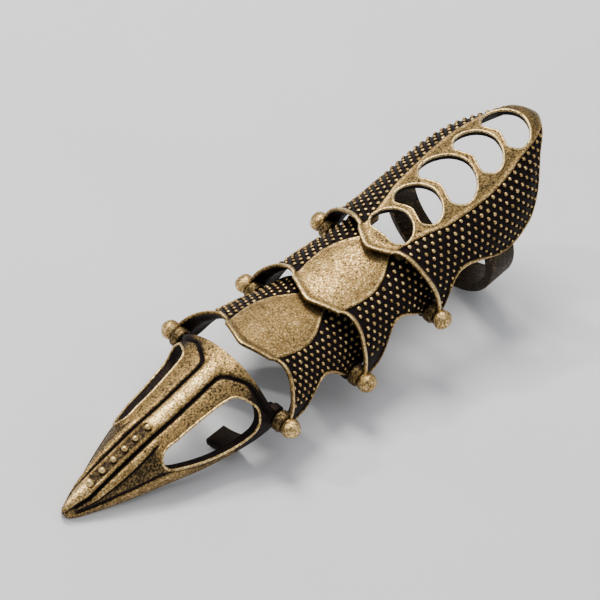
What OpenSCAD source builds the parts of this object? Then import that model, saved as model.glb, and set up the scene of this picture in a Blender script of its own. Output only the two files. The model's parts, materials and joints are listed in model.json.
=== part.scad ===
// Knuckle armor ring: three hinged arched plates and a claw, cast in antique brass.
// Millimetres, +Z up, +X towards the fingertip, lying as it rests on a table.

/* [Knuckle plate] */
// knuckle plate, from its hinge back to the pointed end
knuckle_back = 30.7; // [27:0.1:34]
// knuckle plate, half width at the hinge
knuckle_half = 10.25; // [9.8:0.05:11]
// knuckle plate, crown above the hinge
knuckle_crown = 8.9; // [8.6:0.1:10]
// how far the knuckle plate's front rim sweeps from tongue to shoulder
knuckle_sweep = 3.6; // [2:0.1:4.5]
// length of the largest kidney hole
hole_len = 6.4; // [5.4:0.1:6.5]
// half width of the largest kidney hole
hole_half = 4.55; // [3.6:0.05:4.8]
// distance from one kidney hole's lobes to the next hole's back
hole_gap = 0.1; // [0:0.05:0.2]
// front of the first kidney hole, ahead of the hinge
hole_front = 0.3; // [0:0.1:0.5]

/* [Ring band] */
// finger hole radius inside the band
band_r = 8.6; // [8:0.1:9.4]
// band wall
band_wall = 1.3; // [0.9:0.05:1.5]
// band width along the finger
band_w = 4.8; // [3:0.1:6]
// middle of the band, behind the knuckle hinge
band_back = 14; // [12:0.1:16]
// drop of the band's centre below the knuckle hinge
band_drop = 3.1; // [2.4:0.1:3.6]
// how far the band's ends climb inside the plate
band_root = 0.9; // [0.4:0.1:1.4]

/* [Middle plates] */
// rear plate, from hinge to hinge
rear_len = 14.6; // [13.5:0.1:16]
// rear plate, half width at its front hinge
rear_half = 10.15; // [9.8:0.05:10.6]
// rear plate, crown above its front hinge
rear_crown = 8.1; // [7.8:0.1:8.8]
// front plate, from hinge to hinge
front_len = 15.2; // [14:0.1:16.5]
// front plate, half width at its front hinge
front_half = 9.95; // [9.6:0.05:10.4]
// front plate, crown above its front hinge
front_crown = 6.8; // [6.4:0.1:7.6]
// how far each middle plate runs back under the next one
tuck = 3.3; // [2.6:0.1:3.6]
// how much sooner the rear plate ends at its crown, clear of the front kidney hole
rear_short = 3.7; // [3:0.1:4]
// how far a middle plate's front rim sweeps from tongue to shoulder
plate_sweep = 2.8; // [1.5:0.1:3.5]
// smooth nail panel, greatest half width
panel_half = 4.75; // [4:0.05:5.5]

/* [Claw] */
// claw, from its hinge to the tip
claw_len = 30.8; // [28:0.1:34]
// claw, half width behind the windows
claw_half = 8.1; // [7.6:0.05:8.4]
// claw, crown above the hinge at its rear edge
claw_crown = 6.8; // [6.2:0.1:7.4]
// claw, lower edge below the hinge
claw_skirt = 2.6; // [2.2:0.1:3.2]
// claw, middle ridge half width
ridge_half = 1.2; // [1:0.05:2]
// width of the main grooves beside the claw's ridge
groove_wide = 0.5; // [0.4:0.05:0.8]
// how far the claw's sides lie inside its ears at the hinge
ear_tuck = 0.03; // [0:0.01:0.1]
// claw band, depth of its underside below the hinge
claw_band_drop = 5.8; // [5.6:0.1:6.6]
// claw band width
claw_band_w = 3.5; // [2.5:0.1:4.5]
// gap between the claw band's two ends
claw_band_gap = 1.1; // [0.6:0.1:2.4]
// window length
window_len = 14.6; // [12:0.1:15]
// window height
window_high = 6.2; // [5:0.1:6.3]

/* [Walls and relief] */
// casting wall
wall = 1.1; // [1:0.05:1.3]
// gap between nested crowns
nest_gap = 0.4; // [0.35:0.05:0.6]
// gap between nested side walls
side_gap = 0.16; // [0.14:0.02:0.24]
// how far the grained field lies below the smooth faces
field_drop = 0.3; // [0.1:0.05:0.4]
// height of a grain
grain_high = 0.36; // [0.1:0.02:0.5]
// rise of the bright front rims
rim_rise = 0.4; // [0.1:0.05:0.6]
// depth of the claw's grooves
groove = 0.4; // [0.1:0.05:0.6]

/* [Rivets] */
// rivet ball diameter
ball_d = 2.6; // [2:0.1:3.2]
// rivet shank diameter
shank_d = 1.3; // [1:0.05:1.6]
// rivet tail diameter, inside
tail_d = 2.3; // [1.8:0.1:2.8]
// rivet tail thickness
tail_high = 0.5; // [0.3:0.05:0.7]
// hinge boss radius
boss_r = 1.65; // [1.5:0.05:1.9]
// boss face, proud of the plate
boss_proud = 0.1; // [0.05:0.01:0.15]
// boss face, into the hollow
boss_in = 0.22; // [0.2:0.01:0.28]
// clearance round the shank in the turning boss
run_gap = 0.05; // [0.02:0.01:0.08]
// clearance round the shank in the boss that holds it
hold_gap = 0.015; // [0.01:0.005:0.02]
// play under the rivet's ball and before its tail
end_gap = 0.08; // [0.04:0.02:0.12]

/* [Resting pose] */
// rear plate, nose down
rear_rest = 13.6; // [10:0.1:16]
// front plate, nose down
front_rest = -2.6; // [-5:0.1:2]

/* [Hidden] */
$fn = 32;
eps = 0.01;

// faces of the bosses and what nests inside them
function face_out(half) = half + boss_proud;
function face_in(half) = half - wall - boss_in;
function nested(half) = face_in(half) - side_gap - boss_proud;
rear_back_half = nested(knuckle_half);
front_back_half = nested(rear_half);
ear_half = nested(front_half);
rear_back_crown = knuckle_crown - wall - nest_gap;
front_back_crown = rear_crown - wall - nest_gap;

// the claw rests on its band and its tip, the knuckle plate on its band
tip_low = 0.78 * claw_skirt;
tip_at = 0.94 * claw_len;
band_mid = 0.165 * claw_len;
band_front = band_mid + claw_band_w / 2;
claw_rest = atan2(claw_band_drop - tip_low, tip_at - band_front);
claw_up = claw_band_drop * cos(claw_rest) + band_front * sin(claw_rest);
front_up = claw_up + front_len * sin(front_rest);
knuckle_up = front_up + rear_len * sin(rear_rest);
foot_x = band_back - band_w / 2;
foot_z = band_drop + band_r + band_wall;
knuckle_rest = acos(knuckle_up / norm([foot_x, foot_z])) - atan2(foot_x, foot_z);
rear_ahead = rear_len * cos(rear_rest);
front_ahead = rear_ahead + front_len * cos(front_rest);
tip_x = front_ahead + claw_len * cos(claw_rest);
end_x = -knuckle_back * cos(knuckle_rest) + 0.73 * knuckle_crown * sin(knuckle_rest);
place_x = -(tip_x + end_x) / 2;

// smooth curve through a table's column k at x
function seg(t, x, i = 0) = i >= len(t) - 2 || x < t[i + 1][0] ? i : seg(t, x, i + 1);
function lean(t, k, i) =
  let (a = max(0, i - 1), b = min(len(t) - 1, i + 1))
  (t[b][k] - t[a][k]) / (t[b][0] - t[a][0]);
function curve(t, x, k = 1) =
  let (i = seg(t, x), h = t[i + 1][0] - t[i][0])
  let (u = min(1, max(0, (x - t[i][0]) / h)))
  t[i][k] * (2 * u * u * u - 3 * u * u + 1) + lean(t, k, i) * h * (u * u * u - 2 * u * u + u)
  + t[i + 1][k] * (3 * u * u - 2 * u * u * u) + lean(t, k, i + 1) * h * (u * u * u - u * u);

// a point of an arched section, a degrees round from the crown, raised by d
function arch(x, a, w, h, z0, d) =
  let (n = norm([sin(a) / w, cos(a) / h]))
  [x, (w + d / w / n) * sin(a), z0 + (h + d / h / n) * cos(a)];

// columns counted from the crown: panel 0-2, field 3-18, border 19-20
cols = 20;
function col_angle(c, ap, ae, w) =
  let (one = 57.3 / w)
  let (s = min(0.35 * one, (ae - ap) * 0.06), b = min(0.6 * one, (ae - ap) * 0.1))
  c <= 2 ? ap * c / 2
  : c <= 18 ? ap + s + (ae - b - ap - s) * (c - 3) / 15
  : c <= 19 ? ae - b * 0.5
  : ae;
function grained(i, c, nu) =
  i > 3 && i < nu - 3 && c >= 5 && c <= 17 && c % 2 == 1 && (i + (c - 5) / 2) % 2 == 0;
function col_lift(i, c, nu, k) =
  c <= 2 || i < 3 ? 0
  : i > nu - 3 ? 0
  : c == 19 ? -0.1 * field_drop
  : c >= 20 ? -0.5 * field_drop
  : k * ((grained(i, c, nu) ? grain_high : 0) - field_drop);
function rim_lift(i, nu) =
  i == nu ? 0.55 * rim_rise
  : i == nu - 1 ? rim_rise
  : i == nu - 2 ? 0.35 * rim_rise
  : 0;
// rows: three at the rear, the field, three at the rim
function row_x(i, nu, back, start, front) =
  i < 3 ? back + (start - back) * i / 3
  : i <= nu - 3 ? start + (front - 1.3 - start) * (i - 3) / (nu - 6)
  : front - [1.3, 0.85, 0.35, 0][i - nu + 3];

// faces of a patch of rows and columns, clockwise seen from outside
function patch(o, nu, nv, flip, nu0) =
  [for (i = [0 : nu - 1], j = [0 : nv - 1])
    let (a = o + i * (nv + 1) + j, b = a + 1, c = b + nv + 1, d = c - 1)
    let (up = grained(i, abs(j - nv / 2), nu0) || grained(i + 1, abs(j + 1 - nv / 2), nu0))
    each (up && !flip ? [[a, b, d], [b, c, d]]
      : flip ? [[a, c, b], [a, d, c]] : [[a, b, c], [a, c, d]])];
// a strip from a fine edge f to a coarse edge g, k fine steps to each coarse one
function strip(f, g, k) =
  [for (m = [0 : len(g) - 2]) each concat(
    [for (t = [0 : k - 1]) [f[m * k + t], f[m * k + t + 1], g[t < k / 2 ? m : m + 1]]],
    [[f[m * k + k / 2], g[m + 1], g[m]]])];
function back_to_front(v) = [for (i = [len(v) - 1 : -1 : 0]) v[i]];

// a cast shell from its outer and inner points, nu and nv steps, a quarter inside
module cast_shell(outer, inner, nu, nv) {
  mu = nu / 4;
  mv = nv / 4;
  n0 = (nu + 1) * (nv + 1);
  right_f = [for (i = [nu : -1 : 0]) i * (nv + 1) + nv];
  right_g = [for (i = [mu : -1 : 0]) n0 + i * (mv + 1) + mv];
  left_f = [for (i = [0 : nu]) i * (nv + 1)];
  left_g = [for (i = [0 : mu]) n0 + i * (mv + 1)];
  front_f = [for (j = [0 : nv]) nu * (nv + 1) + j];
  front_g = [for (j = [0 : mv]) n0 + mu * (mv + 1) + j];
  back_f = [for (j = [nv : -1 : 0]) j];
  back_g = [for (j = [mv : -1 : 0]) n0 + j];
  polyhedron(concat(outer, inner), concat(
    patch(0, nu, nv, false, nu), patch(n0, mu, mv, true, -9),
    strip(right_f, right_g, 4), strip(left_f, left_g, 4),
    strip(front_f, front_g, 4), strip(back_f, back_g, 4)), convexity = 8);
}

module boss(half, x = 0) {
  for (s = [-1, 1])
    translate([x, s * (face_in(half) + face_out(half)) / 2, 0])
      rotate([90, 0, 0])
        cylinder(r = boss_r, h = face_out(half) - face_in(half), center = true);
}

module pin_hole(half, gap, x = 0) {
  translate([x, 0, 0])
    rotate([90, 0, 0])
      cylinder(d = shank_d + 2 * gap, h = 2 * face_out(half) + 4, center = true);
}

/* middle plates */
plate_rows = 28;
// share of the edge angle, forward sweep, reach back under the next plate
PLATE_RIM = [[0, 0.11, 1], [0.05, -0.14, 1], [0.1, -0.47, 1], [0.15, -0.68, 1], [0.2, -0.79, 1],
  [0.3, -0.79, 1], [0.4, -0.67, 1], [0.5, -0.48, 1], [0.6, -0.33, 0.96], [0.7, -0.16, 0.88],
  [0.8, 0, 0.78], [0.9, 0.1, 0.66], [1, 0.16, 0.56]];
// place as a share of the length, lower edge angle, panel half width share
PLATE_SIDE = [[-1.2, 82, 0.2], [-1.08, 93, 0.25], [-1, 97, 0.32], [-0.92, 91, 0.46],
  [-0.82, 81, 0.66], [-0.72, 72, 0.84], [-0.64, 68, 0.93], [-0.56, 68, 0.99],
  [-0.46, 74, 1.01], [-0.36, 84, 0.99], [-0.27, 94, 0.95], [-0.15, 99, 0.88],
  [0, 100, 0.8], [0.15, 97, 0.74]];

// 1 about the crown, 0 at the sides
function near_crown(s) = let (u = min(1, max(0, (0.38 - s) / 0.14))) u * u * (3 - 2 * u);

function plate_point(size, i, c, side, d) =
  let (length = size[0], back_w = size[1], front_w = size[2], back_h = size[3])
  let (front_h = size[4], s = c / cols)
  let (rim = plate_sweep * curve(PLATE_RIM, s, 1))
  let (back = -length - tuck * curve(PLATE_RIM, s, 2) + size[5] * near_crown(s))
  let (x = row_x(i, plate_rows, back, max(back, -length) + 0.3, rim))
  let (u = min(1, max(0, (1 + x / length) / 0.86)))
  let (w = back_w + (front_w - back_w) * u, behind = min(0, x + length))
  let (h = (back_h + (front_h - back_h) * u) * sqrt(1 - pow(behind / back_h, 2)))
  let (ap = asin(min(0.8, panel_half * curve(PLATE_SIDE, x / length, 2) / w)))
  let (ae = curve(PLATE_SIDE, x / length, 1))
  let (p = arch(x, col_angle(c, ap, ae, w), w, h, 0, d))
  [p[0], side * p[1], p[2]];

module middle_plate(size) {
  nv = 2 * cols;
  outer = [for (i = [0 : plate_rows], j = [-cols : cols])
    let (c = abs(j))
    plate_point(size, i, c, sign(j), col_lift(i, c, plate_rows, 1) + rim_lift(i, plate_rows))];
  inner = [for (i = [0 : 4 : plate_rows], j = [-cols : 4 : cols])
    plate_point(size, i, abs(j), sign(j), (i == plate_rows ? 0.7 * rim_rise : 0) - wall)];
  difference() {
    union() {
      cast_shell(outer, inner, plate_rows, nv);
      boss(size[2]);
      boss(size[1], -size[0]);
    }
    pin_hole(size[2], hold_gap);
    pin_hole(size[1], run_gap, -size[0]);
  }
}

module rear_plate() {
  color("DarkGoldenrod") at_rear()
    middle_plate([rear_len, rear_back_half, rear_half, rear_back_crown, rear_crown, rear_short]);
}

module front_plate() {
  color("Goldenrod") at_front()
    middle_plate([front_len, front_back_half, front_half, front_back_crown, front_crown, 0]);
}

/* knuckle plate */
knuckle_rows = 56;
// share of the edge angle, forward sweep
KNUCKLE_RIM = [[0, 0.9], [0.05, 0.73], [0.1, 0.46], [0.16, 0.26], [0.25, 0.12], [0.4, 0.02],
  [0.55, -0.06], [0.66, -0.06], [0.8, 0], [0.9, 0.06], [1, 0.13]];
// share of the length back, half width share, crown share, foot share of the crown,
// lower edge angle, smooth strip's share of the half width
KNUCKLE = [
  [-1, 0.07, 0.73, 0.69, 88, 0.06],
  [-0.965, 0.2, 0.865, 0.74, 88, 0.17],
  [-0.925, 0.33, 0.955, 0.72, 88, 0.27],
  [-0.85, 0.5, 1.035, 0.58, 88, 0.36],
  [-0.78, 0.68, 1.06, 0.36, 88, 0.4],
  [-0.73, 0.785, 1.068, 0.26, 88, 0.43],
  [-0.665, 0.885, 1.06, 0.12, 89, 0.475],
  [-0.585, 0.945, 1.045, 0.055, 90, 0.51],
  [-0.5, 0.975, 1.017, 0.01, 90, 0.522],
  [-0.42, 0.98, 1.005, 0, 86, 0.512],
  [-0.33, 0.97, 1, 0, 77, 0.49],
  [-0.24, 0.965, 1, 0, 70, 0.46],
  [-0.17, 0.965, 1, 0, 71, 0.4],
  [-0.1, 0.985, 1, 0, 80, 0.35],
  [-0.04, 1, 1, 0, 93, 0.315],
  [0, 1, 1, 0, 99, 0.295],
  [0.12, 1, 1, 0, 96, 0.28]];
// kidney holes from the rear: length share, half width share
HOLES = [[0.87, 0.83], [0.82, 0.88], [1, 1], [0.83, 0.84], [0.78, 0.72]];

function knuckle_point(i, c, side, d) =
  let (s = c / cols, rim = knuckle_sweep * curve(KNUCKLE_RIM, s))
  let (x = row_x(i, knuckle_rows, -knuckle_back, -knuckle_back * 0.945, rim))
  let (t = x / knuckle_back, w = knuckle_half * curve(KNUCKLE, t, 1))
  let (z0 = knuckle_crown * curve(KNUCKLE, t, 3), h = knuckle_crown * curve(KNUCKLE, t, 2) - z0)
  let (ap = asin(min(0.82, knuckle_half * curve(KNUCKLE, t, 5) / w)))
  let (p = arch(x, col_angle(c, ap, curve(KNUCKLE, t, 4), w), w, h, z0, d))
  [p[0], side * p[1], p[2]];

// a kidney outline: round to the rear, two lobes and a middle bump to the front
KIDNEY = [[-20, 0.32], [0, 0.24], [20, 0.32], [40, 0.38], [60, 0.26], [90, 0.02],
  [120, -0.28], [150, -0.52], [180, -0.62], [210, -0.52]];
function kidney(l, w) =
  [for (a = [0 : 10 : 350]) [l * curve(KIDNEY, a > 180 ? 360 - a : a), w * sin(a)]];

module knuckle_holes() {
  for (k = [0 : 4])
    let (ahead = [for (m = [k : 4]) hole_len * HOLES[m][0]])
    let (gone = ahead * [for (m = ahead) 1] + (4 - k) * hole_gap)
    translate([0.62 * hole_len * HOLES[k][0] + hole_front - gone, 0, knuckle_crown * 0.5])
      linear_extrude(knuckle_crown)
        polygon(kidney(hole_len * HOLES[k][0], hole_half * HOLES[k][1]));
}

module ring_band() {
  a = asin((band_drop + band_root) / band_r);
  translate([-band_back, 0, -band_drop])
    rotate([0, 90, 0])
      rotate([0, 0, -90 - a])
        rotate_extrude(angle = 180 + 2 * a, $fn = 96)
          translate([band_r, -band_w / 2])
            square([band_wall, band_w]);
}

module knuckle_plate() {
  nv = 2 * cols;
  outer = [for (i = [0 : knuckle_rows], j = [-cols : cols])
    let (c = abs(j), k = min(1, max(0, (i - 2) / 8)))
    knuckle_point(i, c, sign(j), col_lift(i, c, knuckle_rows, k) + rim_lift(i, knuckle_rows))];
  inner = [for (i = [0 : 4 : knuckle_rows], j = [-cols : 4 : cols])
    let (x0 = i == 0 ? 1 : 0)
    knuckle_point(i + x0, abs(j), sign(j), (i == knuckle_rows ? 0.7 * rim_rise : 0) - wall)];
  color("Peru") at_knuckle() difference() {
    union() {
      cast_shell(outer, inner, knuckle_rows, nv);
      boss(knuckle_half);
      ring_band();
    }
    knuckle_holes();
    pin_hole(knuckle_half, hold_gap);
  }
}

/* claw */
claw_rows = 28;
// share of the length, half width share, crown share, lower edge share
CLAW = [[-0.06, 1.03, 1.03, 0.6], [0.02, 1.025, 1.01, 0.85], [0.08, 1.01, 0.96, 0.98],
  [0.15, 0.985, 0.89, 1], [0.24, 0.935, 0.8, 1], [0.39, 0.82, 0.65, 0.97],
  [0.53, 0.665, 0.56, 0.95], [0.7, 0.475, 0.39, 0.93], [0.84, 0.29, 0.23, 0.9],
  [0.94, 0.165, 0.11, 0.78], [0.985, 0.1, 0.04, 0.6], [1, 0.05, -0.03, 0.45]];
// share of the half section, place of the rear edge
CLAW_BACK = [[0, 0.04], [0.5, 0.04], [0.65, 0.03], [0.75, 0.005], [0.85, -0.03], [1, -0.05]];
// half width of the claw, its rear tied to the ears between the front plate's sides
function claw_width(t) =
  let (u = min(1, max(0, (0.24 - t) / 0.22)))
  claw_half * curve(CLAW, t, 1) + (ear_half - ear_tuck - claw_half * CLAW[0][1]) * u * u * (3 - 2 * u);
// columns: middle ridge 0-3, groove 4, flank 5-16, side 17-20
function claw_x(i, c) =
  let (back = claw_len * curve(CLAW_BACK, c / cols))
  i < 4 ? back + (claw_len * 0.11 - back) * [0, 0.35, 0.6, 0.8][i]
  : claw_len * (0.11 + 0.89 * (i - 4 < 22 ? (i - 4) * 0.04 : [0.91, 0.97, 1][i - 26]));
function claw_angle(c, w) =
  let (g = asin(min(0.6, ridge_half / w)), e = asin(min(0.8, (ridge_half + groove_wide) / w)))
  c <= 3 ? g * c / 3
  : c == 4 ? (g + e) / 2
  : c <= 16 ? e + (90 - e) * (c - 5) / 11
  : 90;
function claw_lift(i, c) =
  i == 3 && c >= 4 && c <= 14 ? -groove
  : i > 3 && c == 4 ? -groove * (i > 25 ? 0.5 : 1)
  : i > 3 && c <= 2 ? 0.15
  : i < 3 ? 0.1
  : i > 15 && c == 9 ? -0.8 * groove * (i > 25 ? 0.3 : 1)
  : i > 9 && c == 14 ? -0.8 * groove * (i > 25 ? 0.3 : 1)
  : 0;
function claw_point(i, c, side, d) =
  let (x = claw_x(i, c), t = x / claw_len, w = claw_width(t))
  let (zc = claw_crown * curve(CLAW, t, 2), zl = -claw_skirt * curve(CLAW, t, 3))
  let (zm = zl + (zc - zl) * 0.3, p = arch(x, claw_angle(c, w), w, zc - zm, zm, d))
  let (down = max(0, c - 16) / 4)
  [p[0], side * (p[1] - 0.02 * w * down * down), p[2] + (zl - zm) * down];

// side view of the window: along, high
WINDOW = [[0.01, 0.45], [0, 0.68], [0.04, 0.86], [0.12, 0.985], [0.25, 0.965], [0.45, 0.875],
  [0.6, 0.8], [0.75, 0.73], [0.9, 0.665], [0.97, 0.58], [1, 0.46], [0.98, 0.33], [0.92, 0.23],
  [0.8, 0.16], [0.6, 0.06], [0.4, 0], [0.2, 0.03], [0.08, 0.12], [0.03, 0.28]];

module claw_windows() {
  translate([claw_len * 0.085, 0, -0.2 * window_high])
    rotate([90, 0, 0])
      linear_extrude(4 * claw_half, center = true)
        polygon([for (p = WINDOW) [window_len * p[0], window_high * p[1]]]);
}

// the split band under the fingertip
function band_arc(w, h, n = 12) =
  [for (k = [0 : n]) let (a = 180 * k / n) [-w * cos(a), -h * sin(a)]];
module claw_band() {
  w = claw_width(band_mid / claw_len) - 0.17 * wall;
  top = -0.62 * claw_skirt;
  h = claw_band_drop + top;
  translate([band_mid - claw_band_w / 2, 0, top])
    rotate([90, 0, 90])
      linear_extrude(claw_band_w)
        difference() {
          polygon(band_arc(w, h));
          polygon(concat(band_arc(w - 0.95 * wall, h - 0.95 * wall),
            [[w - 0.95 * wall, 1], [0.95 * wall - w, 1]]));
          translate([-claw_band_gap / 2, -2 * h])
            square([claw_band_gap, 2 * h]);
        }
}

module claw_shell() {
  nu = claw_rows;
  nv = 2 * cols;
  mu = 6;
  mv = nv / 4;
  ic = mu * 4;
  outer = [for (i = [0 : nu], j = [-cols : cols])
    claw_point(i, abs(j), sign(j), claw_lift(i, abs(j)))];
  inner = [for (i = [0 : 4 : ic], j = [-cols : 4 : cols])
    claw_point(i, abs(j), sign(j), -wall)];
  n0 = (nu + 1) * (nv + 1);
  tip = n0 + (mu + 1) * (mv + 1);
  right_f = [for (i = [ic : -1 : 0]) i * (nv + 1) + nv];
  right_g = [for (i = [mu : -1 : 0]) n0 + i * (mv + 1) + mv];
  left_f = [for (i = [0 : ic]) i * (nv + 1)];
  left_g = [for (i = [0 : mu]) n0 + i * (mv + 1)];
  back_f = [for (j = [nv : -1 : 0]) j];
  back_g = [for (j = [mv : -1 : 0]) n0 + j];
  ol = ic * (nv + 1);
  or = ol + nv;
  nl = n0 + mu * (mv + 1);
  nr = nl + mv;
  wall_mid = tip;
  polyhedron(concat(outer, inner, [[claw_x(ic, 0), 0, claw_point(ic, cols, 1, 0)[2]]]), concat(
    patch(0, nu, nv, false, -9), patch(n0, mu, mv, true, -9),
    strip(right_f, right_g, 4), strip(left_f, left_g, 4), strip(back_f, back_g, 4),
    [for (j = [0 : mv - 1]) [nl + j, nl + j + 1, wall_mid]],
    [[ol, ol + nv + 1, nl], [nl, ol + nv + 1, wall_mid], [ol + nv + 1, or + nv + 1, wall_mid],
     [wall_mid, or + nv + 1, nr], [nr, or + nv + 1, or]],
    [for (i = [ic + 1 : nu - 1]) let (a = i * (nv + 1)) each
      [[a, a + nv + 1, a + 2 * nv + 1], [a, a + 2 * nv + 1, a + nv]]],
    [for (j = [1 : nv - 1]) let (a = nu * (nv + 1)) [a, a + j, a + j + 1]]), convexity = 8);
}

// beads on the ridge: place along the claw, radius
RIDGE_BEADS = [[0.515, 0.4], [0.587, 0.42], [0.65, 0.44], [0.715, 0.44], [0.78, 0.48],
  [0.855, 0.6]];

module claw() {
  color("DarkKhaki") at_claw() difference() {
    union() {
      difference() {
        claw_shell();
        claw_windows();
      }
      boss(ear_half);
      claw_band();
      for (b = RIDGE_BEADS)
        translate([claw_len * b[0], 0, claw_crown * curve(CLAW, b[0], 2) + 0.12])
          sphere(r = b[1]);
    }
    pin_hole(ear_half, run_gap);
  }
}

/* rivets */
module rivet(half, side) {
  seat = face_out(half) + end_gap;
  tail = face_in(nested(half)) - end_gap;
  lift = seat + 0.36 * ball_d;
  color("Tan")
    scale([1, side, 1]) {
      intersection() {
        translate([0, lift, 0])
          sphere(d = ball_d);
        translate([0, seat, 0])
          rotate([-90, 0, 0])
            cylinder(d = 2 * ball_d, h = 2 * ball_d);
      }
      translate([0, tail, 0])
        rotate([-90, 0, 0])
          cylinder(d = shank_d, h = lift - tail);
      translate([0, tail - tail_high, 0])
        rotate([-90, 0, 0])
          cylinder(d = tail_d, h = tail_high + eps);
    }
}

/* places at rest */
module at_knuckle() {
  translate([place_x, 0, knuckle_up]) rotate([0, knuckle_rest, 0]) children();
}
module at_rear() {
  translate([place_x + rear_ahead, 0, front_up]) rotate([0, rear_rest, 0]) children();
}
module at_front() {
  translate([place_x + front_ahead, 0, claw_up]) rotate([0, front_rest, 0]) children();
}
module at_claw() {
  translate([place_x + front_ahead, 0, claw_up]) rotate([0, claw_rest, 0]) children();
}

module claw_rivet_left() {
  at_front() rivet(front_half, -1);
}
module claw_rivet_right() {
  at_front() rivet(front_half, 1);
}
module middle_rivet_left() {
  at_rear() rivet(rear_half, -1);
}
module middle_rivet_right() {
  at_rear() rivet(rear_half, 1);
}
module knuckle_rivet_left() {
  at_knuckle() rivet(knuckle_half, -1);
}
module knuckle_rivet_right() {
  at_knuckle() rivet(knuckle_half, 1);
}

claw();
front_plate();
rear_plate();
knuckle_plate();
claw_rivet_left();
claw_rivet_right();
middle_rivet_left();
middle_rivet_right();
knuckle_rivet_left();
knuckle_rivet_right();
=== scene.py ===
import bpy
import json
import math
from mathutils import Matrix, Vector, kdtree, noise


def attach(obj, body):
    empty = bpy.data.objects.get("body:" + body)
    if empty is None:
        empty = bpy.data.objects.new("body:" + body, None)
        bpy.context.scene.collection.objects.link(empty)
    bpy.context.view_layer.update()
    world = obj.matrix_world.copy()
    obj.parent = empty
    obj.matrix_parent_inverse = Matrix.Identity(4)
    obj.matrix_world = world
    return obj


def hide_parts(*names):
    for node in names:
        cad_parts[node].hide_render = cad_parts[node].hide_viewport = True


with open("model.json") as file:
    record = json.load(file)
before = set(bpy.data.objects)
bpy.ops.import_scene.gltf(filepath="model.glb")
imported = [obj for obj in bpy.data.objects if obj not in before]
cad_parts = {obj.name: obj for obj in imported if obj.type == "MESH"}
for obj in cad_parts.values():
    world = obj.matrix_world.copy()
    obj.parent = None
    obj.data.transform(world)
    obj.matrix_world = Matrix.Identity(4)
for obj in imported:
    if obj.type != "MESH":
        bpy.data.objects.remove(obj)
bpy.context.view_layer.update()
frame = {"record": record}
mm = 0.001
print("frame loaded")


# where the castings lie at rest: hinge places from the frame, nose down angles in radians
hinge = {j["name"]: Vector(j["pos_m"]) for j in frame["record"]["behaviour"]["joints"]}
bandAxis = Vector(frame["record"]["mounts"][0]["axis"])
clawPitch = 9.68  # degrees nose down, lying on its band and its tip


def slope(a, b):
    return math.atan2(a.z - b.z, b.x - a.x)


def placeAt(point, angle):
    return Matrix.Translation(point) @ Matrix.Rotation(angle, 4, "Y")


atKnuckle = placeAt(hinge["knuckle_hinge"], math.atan2(bandAxis.z, -bandAxis.x))
atRear = placeAt(hinge["middle_hinge"], slope(hinge["knuckle_hinge"], hinge["middle_hinge"]))
atFront = placeAt(hinge["claw_hinge"], slope(hinge["middle_hinge"], hinge["claw_hinge"]))
atClaw = placeAt(hinge["claw_hinge"], math.radians(clawPitch))


# camera and stage
view = {
    "azimuth": 121.06,  # degrees
    "elevation": 43.85,
    "roll": -16.29,
    "distance": 620,  # mm
    "pixelsPerMm": 7.59,
    "target": (2.15, 0, 14.89),  # mm
    "imageWidth": 600,  # pixels
    "sensor": 36,  # mm
}


def addCamera():
    az, el, roll = (math.radians(view[k]) for k in ("azimuth", "elevation", "roll"))
    back = Vector((math.sin(az) * math.cos(el), -math.cos(az) * math.cos(el), math.sin(el)))
    level = Vector((0, 0, 1)).cross(back).normalized()
    up = back.cross(level)
    right = math.cos(roll) * level - math.sin(roll) * up
    top = math.sin(roll) * level + math.cos(roll) * up
    data = bpy.data.cameras.new("camera")
    camera = bpy.data.objects.new("camera", data)
    bpy.context.collection.objects.link(camera)
    data.sensor_width = view["sensor"]
    data.lens = view["pixelsPerMm"] * view["distance"] / view["imageWidth"] * view["sensor"]
    data.clip_start = 10 * mm
    turn = Matrix((right, top, back)).transposed().to_4x4()
    place = Vector(view["target"]) * mm + back * view["distance"] * mm
    camera.matrix_world = Matrix.Translation(place) @ turn
    bpy.context.scene.camera = camera
    return right, top, back


right, top, back = addCamera()


# materials
def linear(code):
    parts = [int(code[i:i + 2], 16) / 255 for i in (1, 3, 5)]
    return [c / 12.92 if c <= 0.04045 else ((c + 0.055) / 1.055) ** 2.4 for c in parts] + [1]


def addNode(tree, kind, settings=None, links=None):
    node = tree.nodes.new(kind)
    for key, value in (settings or {}).items():
        if key in node.inputs.keys() or isinstance(key, int):
            node.inputs[key].default_value = value
        else:
            setattr(node, key, value)
    for key, socket in (links or {}).items():
        tree.links.new(socket, node.inputs[key])
    return node


def newMaterial(name):
    material = bpy.data.materials.new(name)
    material.use_nodes = True
    material.node_tree.nodes.clear()
    return material


patina = {
    "ground": "#1A1417",
    "shadow": "#332A1E",
    "middle": "#836D46",
    "rubbed": "#A48149",
    "bright": "#E6CA90",
    "mottleMm": 1.6,
    "speckleMm": 0.27,
    "pitMm": 0.45,
    "gritMm": 0.1,
    "mottleShare": 0.5,  # how far each pattern moves the level, which is ground at 0 and bright at 1
    "speckleShare": 1.9,
    "pitShare": -0.16,
    "reliefMm": 0.04,
}


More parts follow.
